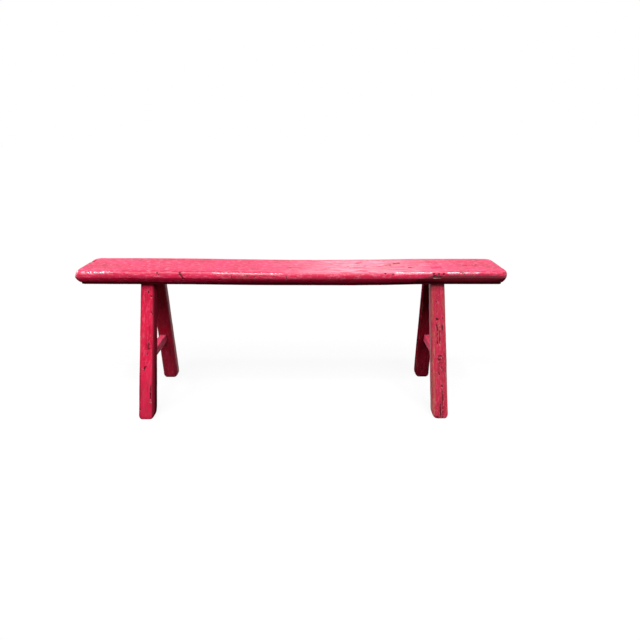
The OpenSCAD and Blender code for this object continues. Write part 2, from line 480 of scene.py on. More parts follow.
def bar(width, depth, arris_r, top, bottom, rounding=(), pitch=BAR_PITCH):
    """A block for a bar: end grids from -1 to 1, and rings from its top to its bottom.

    rounding lists (end height, length, inset): near that end the rings draw in by a quarter ellipse.
    """
    levels = list(spaced(top, bottom, pitch))
    for end, length, _ in rounding:
        away = -1 if end == top else 1
        levels += [end + away * length * share for share in (0.06, 0.2, 0.45)]
    rings = []
    for level in sorted(levels, reverse=True):
        drawn_in = 0
        for end, length, inset in rounding:
            short = max(0, 1 - abs(level - end) / length)
            drawn_in = max(drawn_in, inset * (1 - math.sqrt(1 - short * short)))
        rings.append((arris_r - drawn_in, level))
    xs, ys = (spaced(-1, 1, 2 * pitch / (size - 2 * arris_r)) for size in (width, depth))
    arc_steps = max(2, round(arris_r * math.pi / 2 / pitch))
    return Block(xs, ys, arc_steps, rings)


def in_scene(name, data):
    """A new object with this data, in the scene."""
    made = bpy.data.objects.new(name, data)
    bpy.context.scene.collection.objects.link(made)
    return made


def new_object(name, points, faces, flipped=False):
    """An object made of these points and faces, whose faces are turned round if flipped."""
    mesh = bpy.data.meshes.new(name)
    if flipped:
        faces = [face[::-1] for face in faces]
    mesh.from_pydata(np.asarray(points, float).tolist(), [], faces)
    mesh.update()
    return in_scene(name, mesh)


def vectors_of(obj, kind="vertices", name="co"):
    """A vector property of a mesh's vertices, normals or faces as an array."""
    collection = getattr(obj.data, kind)
    values = np.zeros(len(collection) * 3, np.float32)
    collection.foreach_get(name, values)
    return values.reshape(-1, 3).astype(float)


def move_points(obj, points):
    """Puts a mesh object's vertices at these points."""
    obj.data.vertices.foreach_set("co", points.astype(np.float32).ravel())
    obj.data.update()


def push_in(obj, depths):
    """Moves a mesh object's vertices against their normals by these depths."""
    normals = vectors_of(obj, "vertex_normals", "vector")
    move_points(obj, vectors_of(obj) - normals * depths[:, None])


def combine(obj, tool, operation):
    """Joins tool to obj, or cuts it out of obj, and removes the tool."""
    change = obj.modifiers.new("combine", "BOOLEAN")
    change.operation = operation
    change.solver = "EXACT"
    change.object = tool
    graph = bpy.context.evaluated_depsgraph_get()
    made = bpy.data.meshes.new_from_object(obj.evaluated_get(graph))
    obj.modifiers.clear()
    obj.data = made
    bpy.data.objects.remove(tool)


def lofted(lower, upper):
    """The points and faces of a solid between two outlines, each listed anticlockwise from above."""
    count = len(lower)
    faces = [list(range(count))[::-1], list(range(count, 2 * count))]
    for k in range(count):
        n = (k + 1) % count
        faces.append([k, n, count + n, count + k])
    return list(lower) + list(upper), faces


def on_axis(side_x, side_y, section, heights):
    """The points where lines along a leg's axis, at places across it, meet these heights."""
    turn_x = math.atan(math.tan(SIDE_SPLAY) * math.cos(END_SPLAY))
    turned = np.array(Euler((side_y * turn_x, -side_x * END_SPLAY, 0)).to_matrix())
    starts = (side_x * LEG_TOP_X, side_y * LEG_TOP_Y, UNDER) + section @ turned[:, :2].T
    direction = turned[:, 2]
    return starts + ((heights - starts[:, 2]) / direction[2])[:, None] * direction


def rectangle(half_x, half_y):
    """The corners of a rectangle about the origin, anticlockwise."""
    return np.array([(-half_x, -half_y), (half_x, -half_y), (half_x, half_y), (-half_x, half_y)])


def axis_tool(name, side_x, side_y, *levels):
    """A tool along a leg's axis from (rectangle, height) to (rectangle, height)."""
    ends = [on_axis(side_x, side_y, shape, np.full(4, height)) for shape, height in levels]
    return new_object(name, *lofted(*ends))


def mark_points(obj, **values):
    """Stores named numbers on a mesh's vertices for its material, and shades it smoothly."""
    for name, numbers in values.items():
        kind, field = ("FLOAT_VECTOR", "vector") if numbers.ndim == 2 else ("FLOAT", "value")
        attribute = obj.data.attributes.new(name, kind, "POINT")
        attribute.data.foreach_set(field, numbers.astype(np.float32).ravel())
    obj.data.shade_smooth()
    obj.data.set_sharp_from_angle(angle=SHARP_ANGLE)


def use_materials(obj, kinds):
    """Gives each face the one of the object's materials that its number names."""
    obj.data.polygons.foreach_set("material_index", kinds.astype(np.int32))


def put_on_bench(obj, node, slot, *materials):
    """Gives a piece its materials and its place among the bench's parts."""
    for material in materials:
        obj.data.materials.append(material)
    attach(obj, BODY)
    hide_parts(node)


# The plank


def seat_lines_x():
    """Where the plank's grid lines cross X: even, and closer together at its marks."""
    half = SEAT_L / 2 - CORNER_R
    lines = list(spaced(-half, half, SEAT_PITCH_X))
    for mark in SEAT_CHIPS + SEAT_GOUGES + SEAT_LUMPS[:1]:
        low = (min(mark.start[0], mark.end[0]) - mark.reach[0] - 2) * MM
        high = (max(mark.start[0], mark.end[0]) + mark.reach[0] + 2) * MM
        lines += list(np.clip(spaced(low, high, SEAT_FINE_PITCH), -half, half))
    kept = [-half]
    for line in sorted(lines):
        if line - kept[-1] > 0.6 * SEAT_FINE_PITCH:
            kept.append(line)
    kept[-1] = half
    return kept


def seat_rings():
    """The plank's edge from its flat top round to its flat underside, as (reach, height).

    The edge is a quarter ellipse down to its outermost line, then turns under faster and faster.
    """
    flat_reach = CORNER_R - EDGE_TOP_IN
    nose_z = SEAT_TOP - EDGE_TOP_H
    low_h = LEDGE_DEPTH - EDGE_TOP_H
    ledge_z = SEAT_TOP - LEDGE_DEPTH
    ledge_reach = CORNER_R - LEDGE_INSET
    rings = [(reach, SEAT_TOP) for reach in spaced(3 * MM, flat_reach, 3 * MM)[:-1]]
    for angle in np.linspace(math.pi / 2, 0, SEAT_UPPER_RINGS):
        reach = flat_reach + EDGE_TOP_IN * math.cos(angle)
        rings.append((reach, nose_z + EDGE_TOP_H * math.sin(angle)))
    for share in np.linspace(0, 1, SEAT_LOWER_RINGS)[1:]:
        rings.append((CORNER_R - EDGE_LOW_IN * share**EDGE_LOW_BEND, nose_z - low_h * share))
    rings += [(ledge_reach, z) for z in spaced(ledge_z - 0.8 * MM, UNDER + 1.2 * MM, 1.8 * MM)]
    rings += [(ledge_reach - 0.4 * MM, UNDER + 0.3 * MM), (ledge_reach - 1.2 * MM, UNDER)]
    rings += [(reach, UNDER) for reach in (9 * MM, 6 * MM, 3 * MM)]
    return rings


def seat_wear(points):
    """How far the plank's surface lies inside its first shape."""
    depths = uneven(points, 1, (0.35, (170, 70, 60)), (0.16, (130, 6, 6)), (0.14, (22, 11, 9)))
    depths += arris_wear(points, top_arris(points), 4, 0.7, (70, 60, 60), (16, 30, 30))
    lumpy = covered(points, SEAT_LUMPS, 0, 1.5)
    depths += lumpy * uneven(points, 6, (0.6, (7, 9, 6)), (0.4, (4, 4, 3)))
    depths += UNDERCUT * undercut(points)
    return depths + dug(points, SEAT_CHIPS) + dug(points, SEAT_GOUGES, 0.5, 2.2)


def undercut(points):
    """How fully the front face is worn away at each point: at its right, round its middle height."""
    x, y, z = points.T
    start, end = UNDERCUT_X
    fade_in, fade_out = UNDERCUT_FADES
    along = unit(np.minimum((x - start) / fade_in, (end - x) / fade_out))
    return along * np.interp(SEAT_TOP - z, UNDERCUT_DEPTHS, UNDERCUT_SHARES) * (y < 0)


def end_swell(points):
    """How far the plank's left end stands out past its first shape at each point."""
    near = unit((END_SWELL_L - SEAT_L / 2 - points[:, 0]) / END_SWELL_L)
    return near * np.interp(SEAT_TOP - points[:, 2], END_DEPTHS, END_SWELLS)


def rim_drop(points):
    """How far the plank's lower rim hangs below its first shape at each point."""
    x, y, z = points.T
    outer = unit((np.abs(y) - LEG_TOP_Y - LEG_D / 2) / (6 * MM))
    down = unit((SEAT_TOP - 24 * MM - z) / (12 * MM))
    return outer * down * np.interp(x, RIM_X, RIM_DROPS)


def top_arris(points):
    """1 along the plank's upper arrises, falling to 0 a little way from them."""
    x, y, z = points.T
    outside = np.maximum(np.abs(x) - SEAT_L / 2, np.abs(y) - SEAT_W / 2)
    across = (outside + 6 * MM) / SEAT_ARRIS_REACH
    down = (SEAT_TOP - 3 * MM - z) / SEAT_ARRIS_REACH
    return unit(1 - across**2 - down**2)


def worn_plank():
    """The plank: sagged, hollowed, ridged along its grain, chipped, and cut for the four legs."""
    half_y = SEAT_W / 2 - CORNER_R
    ys = spaced(-half_y, half_y, SEAT_PITCH_Y)
    block = Block(seat_lines_x(), ys, SEAT_ARC_STEPS, seat_rings())
    points = np.column_stack([block.section(), block.height])
    obj = new_object("worn_seat_plank", points, block.faces)
    push_in(obj, seat_wear(points))
    moved = vectors_of(obj)
    rise = (points[:, 2] - UNDER) / (SEAT_TOP - UNDER)
    moved[:, 2] -= sag(points[:, 0]) + hollow(points[:, 0]) * rise**2 + rim_drop(points)
    moved[:, 0] -= end_swell(points)
    move_points(obj, moved)
    shape = rectangle(LEG_TENON_W / 2 + FIT_GAP, LEG_TENON_D / 2 + FIT_GAP)
    levels = [(shape, UNDER - CUT_PAST), (shape, SEAT_TOP + CUT_PAST)]
    for depth, side in CORNERS:
        combine(obj, axis_tool("mortise", SIGN[side], SIGN[depth], *levels), "DIFFERENCE")
    paint_plank(obj)
    return obj


def unsagged(obj, *kind):
    """A mesh's points as they lay before the plank sagged, and how deep below the worn top."""
    points = vectors_of(obj, *kind)
    points[:, 2] += sag(points[:, 0])
    return points, SEAT_TOP - hollow(points[:, 0]) - points[:, 2]


def seat_dirt_and_shade(points):
    """How far the plank is darkened: round the gouge and along the lower round at its right, and as
    painted shade low on its front edge, at its back arris and on its underside.
    """
    x, y, z = points.T
    depth = SEAT_TOP - z
    # Darker round the gouge and along the lower round at its right; painted shade low on the front edge,
    # at the back arris and below the ledge
    spots = 0.5 * covered(points, SEAT_DARK_PATCHES, 0.4, 1.2) + 0.2 * undercut(points)
    low = np.interp(depth, LOW_SHADE_DEPTHS, LOW_SHADE_SHARES) * np.interp(x, LOW_SHADE_X, (LEFT_LOW_SHADE, 1))
    back = 0.5 * top_arris(points) * (y > 0)
    return unit(np.maximum(spots + low + back, 0.7 * (depth > LEDGE_DEPTH)))


def paint_plank(obj):
    """Tells the plank's materials where it is chipped, rubbed, darkened, faded or polished; much of the
    darkening is painted shade.
    """
    points, depth = unsagged(obj)
    far = (points[:, 0] - FADED_X) / FADED_SPREAD
    mark_points(
        obj,
        chipped=covered(points, SEAT_CHIPS),
        gouged=covered(points, SEAT_GOUGES),
        rubbed=covered(points, SEAT_RUBS, 0, 1.2),
        dirty=seat_dirt_and_shade(points),
        polished=covered(points, SEAT_POLISH, 0.3, 1.5),
        arris=top_arris(points),
        faded=np.exp(-(far**2)) * unit(2 - 2 * depth / FADED_H),
        grain=points,
    )
    places, depth = unsagged(obj, "polygons", "center")
    # Faces below the nose take the underside's darker paint, painted shade
    kinds = (depth > TOP_PAINT_H) + (depth > EDGE_TOP_H + NOSE_PAINT_H).astype(int)
    polished = covered(places, SEAT_POLISH, 0.3, 1.5) > 0.4
    use_materials(obj, np.where(polished & (kinds == 1), 3, kinds))


# The legs


def leg_arris(points, side_x, side_y):
    """1 along a leg's long arrises, falling to 0 a little way from them."""
    x, y, z = points.T
    across = (np.abs(x - side_x * leg_x(z)) - (leg_w(z) / 2 - 2 * MM)) / LEG_ARRIS_REACH
    deep = (np.abs(y - side_y * leg_y(z)) - (LEG_D / 2 - 2 * MM)) / LEG_ARRIS_REACH
    return unit(1 - across**2 - deep**2)


def leg_wear(points, arris, corner, seed):
    """How far a leg's surface lies inside its first shape."""
    depths = uneven(points, seed, (0.45, (40, 40, 110)), (0.16, (7, 7, 90)), (0.14, (10, 10, 18)))
    depths += arris_wear(points, arris, seed + 3, 0.6, (50, 50, 45), (30, 30, 12))
    return depths + dug(points, LEG_CHIPS[corner])


def leg_dirt_and_shade(points, side_x, side_y):
    """How far a leg is darkened: grime along its arrises and round its foot, and for the left front one
    painted shade over its inner side, on its inner arris and towards its bottom.
    """
    x, _, z = points.T
    arris = leg_arris(points, side_x, side_y)
    if side_x > 0 or side_y > 0:
        return unit(0.15 * arris + 0.4 * unit(1 - z / (10 * MM)))
    # The left front leg: painted shade over its inner side and towards its bottom, more on its inner
    # arris than its outer one
    inward = x + leg_x(z)
    side = 0.4 * unit(1 + (inward - leg_w(z) / 2) / (5 * MM))
    low = np.interp(z, LEG_LOW_SHADE_Z, LEG_LOW_SHADE)
    return unit(np.where(inward > 0, 0.7, 0.2) * arris + side + low)


def leg_grain(points, side_x, side_y, seed):
    """Where points lie in a leg's wood: along its length, then across it."""
    x, y, z = points.T
    return np.column_stack([z, x - side_x * leg_x(z) + seed, y - side_y * leg_y(z)])


def leg_shaft(corner, seed):
    """A leg's shaft from the floor to the plank, worn and chipped."""
    side_y, side_x = (SIGN[word] for word in corner)
    block = bar(LEG_TOP_W, LEG_D, LEG_ARRIS_R, UNDER, 0, [(0, FOOT_ROUND_H, FOOT_ROUND_IN)])
    z = block.height
    section = block.section(leg_w(z) / 2, LEG_D / 2, LEG_ARRIS_R)
    inner = section[:, :1] * side_x < 0
    drawn_in, high = np.where(inner, FOOT_INNER, FOOT_OUTER).T
    foot = unit(1 - z / high)
    section[:, 0] *= 1 - 2 * drawn_in / LEG_FOOT_W * (1 - np.sqrt(1 - foot**2))
    middle = np.column_stack([side_x * leg_x(z), side_y * leg_y(z)])
    points = np.column_stack([section + middle, z])
    obj = new_object("worn_leg_" + "_".join(corner), points, block.faces)
    held = unit((UNDER - z) / (14 * MM)) * np.clip(z / (3 * MM), 0.4, 1)
    push_in(obj, leg_wear(points, leg_arris(points, side_x, side_y), corner, seed) * held)
    moved = vectors_of(obj)
    moved[:, 2] = np.clip(moved[:, 2], 0, None)
    move_points(obj, moved)
    return obj


def sink_end(points, block, depth, size, seed):
    """Sinks the upper end of a block's points unevenly."""
    end = block.height > block.height[0] - 0.1 * MM
    points[:, 2] -= np.where(end, depth * (1 + noise(points, size, seed)), 0)


def leg_tenon(side_x, side_y):
    """A leg's tenon, from inside the shaft to just proud of the worn top."""
    top = WORN_TOP + TENON_PROUD
    rounding = [(top, END_ARRIS_R, 0.7 * END_ARRIS_R)]
    block = bar(LEG_TENON_W, LEG_TENON_D, END_ARRIS_R, top, UNDER - TENON_ROOT, rounding)
    section = block.section(LEG_TENON_W / 2, LEG_TENON_D / 2, END_ARRIS_R)
    points = on_axis(side_x, side_y, section, block.height)
    sink_end(points, block, 0.15 * MM, (3, 9, 9), 7)
    return new_object("tenon", points, block.faces)


def leg_slot(side_x, side_y):
    """The tool that cuts a leg's tenon for its wedge."""
    half_y = LEG_TENON_D / 2 + FIT_GAP
    tip = (rectangle(WEDGE_TIP_T / 2 + FIT_GAP, half_y), SEAT_TOP - LEG_WEDGE_L - FIT_GAP)
    head = (rectangle(LEG_WEDGE_T / 2 + FIT_GAP, half_y), SEAT_TOP + CUT_PAST)
    return axis_tool("slot", side_x, side_y, tip, head)


def stretcher_mortise(side_x, side_y):
    """The tool that cuts a leg for its stretcher's tenon."""
    half_z = STRETCHER_TENON_H / 2 + FIT_GAP
    outline = rectangle(STRETCHER_TENON_W / 2 + FIT_GAP, LEG_D)
    outline += (side_x * STRETCHER_X, side_y * leg_y(STRETCHER_Z))
    ends = [[(x, y, z) for x, y in outline] for z in (STRETCHER_Z - half_z, STRETCHER_Z + half_z)]
    return new_object("mortise", *lofted(*ends))


def worn_leg(corner, seed):
    """A leg with its tenon, cut for its wedge and for the stretcher."""
    side_y, side_x = (SIGN[word] for word in corner)
    obj = leg_shaft(corner, seed)
    combine(obj, leg_tenon(side_x, side_y), "UNION")
    combine(obj, leg_slot(side_x, side_y), "DIFFERENCE")
    combine(obj, stretcher_mortise(side_x, side_y), "DIFFERENCE")
    points = vectors_of(obj)
    shaft = points[:, 2] < UNDER + 0.5 * MM
    mark_points(
        obj,
        chipped=covered(points, LEG_CHIPS[corner]),
        rubbed=covered(points, LEG_RUBS[corner], 0, 1.2),
        dirty=leg_dirt_and_shade(points, side_x, side_y) * shaft,
        arris=leg_arris(points, side_x, side_y) * shaft,
        grain=np.where(shaft[:, None], leg_grain(points, side_x, side_y, seed), points),
    )
    use_materials(obj, vectors_of(obj, "polygons", "center")[:, 2] > UNDER + 1 * MM)
    return obj


def leg_wedge(side_x, side_y):
    """The wedge driven into a leg's tenon from above, as points and faces."""
    top = WORN_TOP + WEDGE_PROUD
    tip_z = SEAT_TOP - LEG_WEDGE_L
    rounding = [(top, 1 * MM, 0.35 * MM)]
    block = bar(LEG_WEDGE_T, LEG_TENON_D, WEDGE_ARRIS_R, top, tip_z, rounding, END_PITCH)
    share = (block.height - tip_z) / (top - tip_z)
    half_x = WEDGE_TIP_T / 2 + (LEG_WEDGE_T - WEDGE_TIP_T) / 2 * share
    section = block.section(half_x, LEG_TENON_D / 2, WEDGE_ARRIS_R)
    points = on_axis(side_x, side_y, section, block.height)
    sink_end(points, block, 0.2 * MM, (4, 5, 9), 8)
    return points, block.faces


# The stretchers


def worn_stretcher(side, seed):
    """A stretcher with its two tenons, cut for its wedges."""
    side_x = SIGN[side]
    lines = [spaced(-1, 1, 2 * BAR_PITCH / size) for size in (STRETCHER_W, STRETCHER_H)]
    levels = spaced(1, -1, BAR_PITCH / leg_y(STRETCHER_Z))
    block = Block(*lines, STRETCHER_ARC_STEPS, [(STRETCHER_ARRIS_R, level) for level in levels])
    section = block.section(STRETCHER_W / 2, STRETCHER_H / 2, STRETCHER_ARRIS_R)
    z = STRETCHER_Z + section[:, 1]
    y = -block.height * (leg_y(z) - LEG_D / 2)
    points = np.column_stack([side_x * STRETCHER_X + section[:, 0], y, z])
    obj = new_object("worn_stretcher_" + side, points, block.faces)
    depths = uneven(points, seed, (0.3, (30, 60, 30)), (0.15, (6, 60, 6)))
    push_in(obj, depths * unit((1 - np.abs(block.height)) / 0.06))
    for side_y in (-1, 1):
        combine(obj, stretcher_tenon(side_x, side_y), "UNION")
        combine(obj, stretcher_slot(side_x, side_y), "DIFFERENCE")
    paint_stretcher(obj, side)
    return obj


def paint_stretcher(obj, side):
    """Tells a stretcher's materials where it is chipped, darkened or worn, and where a leg's paint is.
    """
    points = vectors_of(obj)
    side_x, side_y = SIGN[side], np.sign(points[:, 1])
    away = np.abs(points - (side_x * STRETCHER_X, 0, STRETCHER_Z))
    across = (away[:, 0] - STRETCHER_W / 2) / (4 * MM)
    high = (away[:, 2] - STRETCHER_H / 2) / (4 * MM)
    from_leg = leg_y(points[:, 2]) - LEG_D / 2 - away[:, 1]
    free = from_leg > -1 * MM
    seeds = np.where(side_y < 0, LEG_SEEDS["front", side], LEG_SEEDS["back", side])
    end_grain = leg_grain(points, side_x, side_y, seeds)
    mark_points(
        obj,
        chipped=covered(points, LEG_CHIPS["front", side]) * (from_leg < 0),
        # Darker within 9 mm of the legs, and painted shade along the middle of its sides
        dirty=np.maximum(unit(1 - from_leg / (9 * MM)), 0.35 * (high < -1)) * free,
        arris=unit(1 - across**2 - high**2) * (from_leg > 0),
        grain=np.where(free[:, None], points[:, [1, 0, 2]], end_grain),
    )
    places = vectors_of(obj, "polygons", "center")
    in_leg = np.abs(places[:, 1]) > leg_y(places[:, 2]) - LEG_D / 2 + 1 * MM
    use_materials(obj, in_leg * np.where(places[:, 1] < 0, 1, 2))


def stretcher_tenon(side_x, side_y):
    """A stretcher's tenon, from inside it to just short of the leg's outer face."""
    half_x, half_z = STRETCHER_TENON_W / 2, STRETCHER_TENON_H / 2
    root = leg_y(STRETCHER_Z) - LEG_D / 2 - TENON_ROOT
    points = []
    for x in (-half_x, half_x):
        for z in (STRETCHER_Z - half_z, STRETCHER_Z + half_z):
            end = leg_y(z) + LEG_D / 2 - TENON_SHORT
            points += [(side_x * STRETCHER_X + x, side_y * y, z) for y in (root, end)]
    faces = [[0, 1, 3, 2], [4, 6, 7, 5], [0, 4, 5, 1], [2, 3, 7, 6], [0, 2, 6, 4], [1, 5, 7, 3]]
    return new_object("tenon", points, faces, side_y < 0)


def stretcher_wedge_shape(gap, past):
    """A stretcher's wedge as (distance from the bench's middle, half thickness) at tip and head."""
    face = leg_y(STRETCHER_Z) + LEG_D / 2
    tip = (face - STRETCHER_WEDGE_L - gap, WEDGE_TIP_T / 2 + gap)
    return tip, (face + past, STRETCHER_WEDGE_T / 2 + gap)


def stretcher_slot(side_x, side_y):
    """The tool that cuts a stretcher's tenon for its wedge."""
    half_x = STRETCHER_TENON_W / 2 + CUT_PAST
    ends = []
    for y, half_z in stretcher_wedge_shape(FIT_GAP, CUT_PAST):
        shape = rectangle(half_x, half_z) + (side_x * STRETCHER_X, STRETCHER_Z)
        ends.append([(x, side_y * y, z) for x, z in shape])
    return new_object("slot", *lofted(*ends), side_y > 0)


def stretcher_wedge(side_x, side_y):
    """The wedge driven into the end of a stretcher, as points and faces."""
    (tip, tip_half), (head, head_half) = stretcher_wedge_shape(0, 0)
    block = bar(STRETCHER_TENON_W, STRETCHER_WEDGE_T, WEDGE_ARRIS_R, head, tip, pitch=END_PITCH)
    half_z = tip_half + (head_half - tip_half) * (block.height - tip) / (head - tip)
    x, z = block.section(STRETCHER_TENON_W / 2, half_z, WEDGE_ARRIS_R).T
    points = np.column_stack([side_x * STRETCHER_X + x, side_y * block.height, STRETCHER_Z + z])
    return points, block.faces


# The materials


class Nodes:
    """A node tree built by short calls, each of which gives back what the new node puts out."""

    def __init__(self, owner):
        owner.use_nodes = True
        self.tree = owner.node_tree
        self.tree.nodes.clear()

    def add(self, kind, inputs=(), **settings):
        """A node with these settings, whose inputs are set to, or fed by, these values."""
        node = self.tree.nodes.new("ShaderNode" + kind)
        for name, value in settings.items():
            setattr(node, name, value)
        for key, value in dict(inputs).items():
            if isinstance(value, bpy.types.NodeSocket):
                self.tree.links.new(value, node.inputs[key])
            else:
                node.inputs[key].default_value = value
        return node

    def maths(self, operation, a, b=0.0, c=0.0, clamp=False):
        """The result of an operation on two or three numbers."""
        node = self.add("Math", {0: a, 1: b, 2: c}, operation=operation, use_clamp=clamp)
        return node.outputs[0]

    def scaled(self, value, factor, extra):
        """A value times a factor, plus some more."""
        return self.maths("MULTIPLY_ADD", value, factor, extra)

    def mix(self, share, a, b):
        """Colour a where share is 0, colour b where it is 1."""
        return self.add("Mix", {0: share, 6: a, 7: b}, data_type="RGBA").outputs[2]

    def step(self, value, low, high):
        """0 below low, 1 above high, and smooth between them."""
        inputs = {"Value": value, "From Min": low, "From Max": high}
        return self.add("MapRange", inputs, interpolation_type="SMOOTHSTEP").outputs[0]

    def noise(self, place, stretch, detail, rough, seed):
        """Noise from 0 to 1 with this many lumps to a metre along each axis."""
        scaled = self.add("VectorMath", {0: place, 1: stretch}, operation="MULTIPLY").outputs[0]
        inputs = {"Vector": scaled, "W": seed, "Scale": 1.0, "Detail": detail, "Roughness": rough}
        return self.add("TexNoise", inputs, noise_dimensions="4D").outputs[0]

    def stored(self, name, output="Fac"):
        """The number or the vector stored on the vertices under a name."""
        return self.add("Attribute", attribute_name=name).outputs[output]


PALE = (0.95, 0.31, 0.41, 1)
CHALK = (0.98, 0.58, 0.66, 1)
SPECK = (0.97, 0.23, 0.34, 1)
# Dark red for grime, and for painted shade
DIRT_AND_SHADE = (0.10, 0.008, 0.013, 1)
DARK_LINE = (0.17, 0.008, 0.018, 1)
# A pale pink rim round chips: painted glints
CHIP_GLINT = (0.90, 0.34, 0.40, 1)
CHIP_DARK = (0.045, 0.006, 0.010, 1)
CHIP_RED = (0.24, 0.016, 0.030, 1)
WOOD_DARK = (0.36, 0.09, 0.065, 1)
WOOD_LIGHT = (0.58, 0.20, 0.15, 1)
HOLE = (0.008, 0.005, 0.006, 1)
FIBRE = (0.30, 0.17, 0.16, 1)
# The back legs' dark red: painted shade
SHADED_CRIMSON = (0.25, 0.006, 0.020, 1)

# How a piece is painted: its name and seed, the colours between which its paint wanders, how
# strongly it mirrors, how rough it is, how much of it has rubbed off, how strong its streaks are,
# how fine its pattern is along Y, and how mottled it is
Finish = namedtuple("Finish", "name seed bright deep gloss rough wear streaks fine mottled")

SEAT_FINISH = Finish(
    name="seat_paint", seed=0, bright=(0.76, 0.016, 0.112, 1), deep=(0.52, 0.006, 0.053, 1),
    gloss=0.11, rough=0.38, wear=0.2, streaks=0.5, fine=0.4, mottled=0.75,
)
SEAT_EDGE_FINISH = SEAT_FINISH._replace(
    name="seat_edge_paint", bright=(0.72, 0.016, 0.082, 1), deep=(0.54, 0.006, 0.043, 1),
    gloss=0.34, mottled=0.45,
)
# A darker copy of the plank's paint below its nose and underneath: painted shade; its dull finish is the
# underside's own
SEAT_SHADED_LOW_FINISH = SEAT_FINISH._replace(
    name="seat_shaded_low_paint", bright=(0.63, 0.011, 0.056, 1), deep=(0.48, 0.005, 0.034, 1),
    gloss=0, rough=0.6, mottled=0.2,
)
SEAT_POLISHED_FINISH = SEAT_EDGE_FINISH._replace(name="seat_polished_paint", gloss=0.9)
# The paint of the one tenon that shows, which has kept its strong colour
BARE_TENON_FINISH = SEAT_FINISH._replace(name="bare_tenon_paint", gloss=0.075, rough=0.5)
LEG_FINISH = Finish(
    name="leg_paint_front_left", seed=10, bright=(0.83, 0.026, 0.086, 1), deep=(0.60, 0.013, 0.050, 1),
    gloss=0, rough=0.4, wear=0.2, streaks=1, fine=1, mottled=0.2,
)
LEG_FINISHES = {
    ("front", "left"): LEG_FINISH,
    ("front", "right"): LEG_FINISH._replace(
        name="leg_paint_front_right", seed=20, bright=(0.54, 0.028, 0.066, 1),
        deep=(0.35, 0.017, 0.038, 1), gloss=0.14, wear=1.1, streaks=1.4,
    ),
    # The back legs' paint is darker than the front ones': painted shade
    ("back", "left"): LEG_FINISH._replace(
        name="leg_paint_back_left_shaded", seed=30, bright=(0.48, 0.008, 0.038, 1),
        deep=SHADED_CRIMSON, gloss=0.08, wear=0.4, streaks=0.7, mottled=0.08,
    ),
    ("back", "right"): LEG_FINISH._replace(
        name="leg_paint_back_right_shaded", seed=40, bright=SHADED_CRIMSON,
        deep=(0.16, 0.004, 0.012, 1), wear=0.5, mottled=0.05,
    ),
}
# The stretchers' paint is a lighter copy of the red paint: painted light on their tops
STRETCHER_FINISH = Finish(
    name="stretcher_lit_paint_left", seed=80, bright=(0.98, 0.085, 0.180, 1), deep=(0.90, 0.050, 0.130, 1),
    gloss=0.03, rough=0.45, wear=0.2, streaks=0.4, fine=1, mottled=0.3,
)
STRETCHER_FINISHES = {
    "left": STRETCHER_FINISH,
    "right": STRETCHER_FINISH._replace(name="stretcher_lit_paint_right", seed=90),
}


def grain_noises(n, seed, fine):
    """The noises that run along the grain."""
    sizes = {
        "broad": ((7, 26 * fine, 26), 2, 0.5),
        "streaks": ((22, 250 * fine, 250), 4, 0.65),
        "threads": ((34, 380 * fine, 380), 3, 0.6),
        "mottle": ((55, 150, 150), 4, 0.7),
        "strokes": ((34, 170 * fine, 170), 2, 0.5),
        "flecks": ((80, 240, 240), 5, 0.7),
        "pits": ((120, 210, 210), 3, 0.6),
        "rings": ((2.2, 24 * fine, 24), 2, 0.45),
    }
    place = n.stored("grain", "Vector")
    noises = {name: n.noise(place, *size, seed + k) for k, (name, size) in enumerate(sizes.items())}
    grain = SimpleNamespace(**noises)
    lines = n.maths("PINGPONG", n.maths("MULTIPLY", grain.rings, 9.0), 0.5)
    lines = n.maths("SUBTRACT", 1.0, n.step(lines, 0.0, 0.09))
    grain.rings = n.maths("MULTIPLY", lines, n.step(grain.streaks, 0.42, 0.56))
    return grain


def torn(n, name, flecks):
    """The number stored for a kind of mark, made ragged close to its marks."""
    stored = n.stored(name)
    near = n.maths("MULTIPLY", stored, 4.0, clamp=True)
    return n.scaled(n.scaled(flecks, 1.8, -0.9), near, stored)


def worn_places(n, grain, finish):
    """How far the paint is broken in each way, from the noises and the numbers on the vertices."""
    chipped = torn(n, "chipped", grain.flecks)
    gouged = torn(n, "gouged", grain.flecks)
    thin = n.scaled(n.stored("rubbed"), 0.14, grain.streaks)
    thin = n.scaled(n.stored("arris"), 0.02 + 0.12 * finish.wear, thin)
    thin = n.maths("ADD", thin, 0.06 * finish.wear)
    # Grime and painted shade from the stored numbers, broken up by the mottle
    dirt = n.maths("ADD", n.scaled(grain.mottle, 0.9, -0.45), n.stored("dirty"))
    return SimpleNamespace(
        chipped=n.step(chipped, 0.32, 0.5),
        # A pale rim round chips, a painted glint
        rim=n.maths("MULTIPLY", n.step(chipped, 0.14, 0.24), n.step(grain.mottle, 0.5, 0.62)),
        gouged=n.step(gouged, 0.35, 0.5),
        thin=n.step(thin, 0.62, 0.78),
        dirty=n.step(dirt, 0.05, 0.9),
        pitted=n.step(grain.pits, 0.68 - 0.03 * finish.wear, 0.75),
        split=n.step(grain.threads, 0.63 - 0.06 * finish.streaks, 0.75),
    )


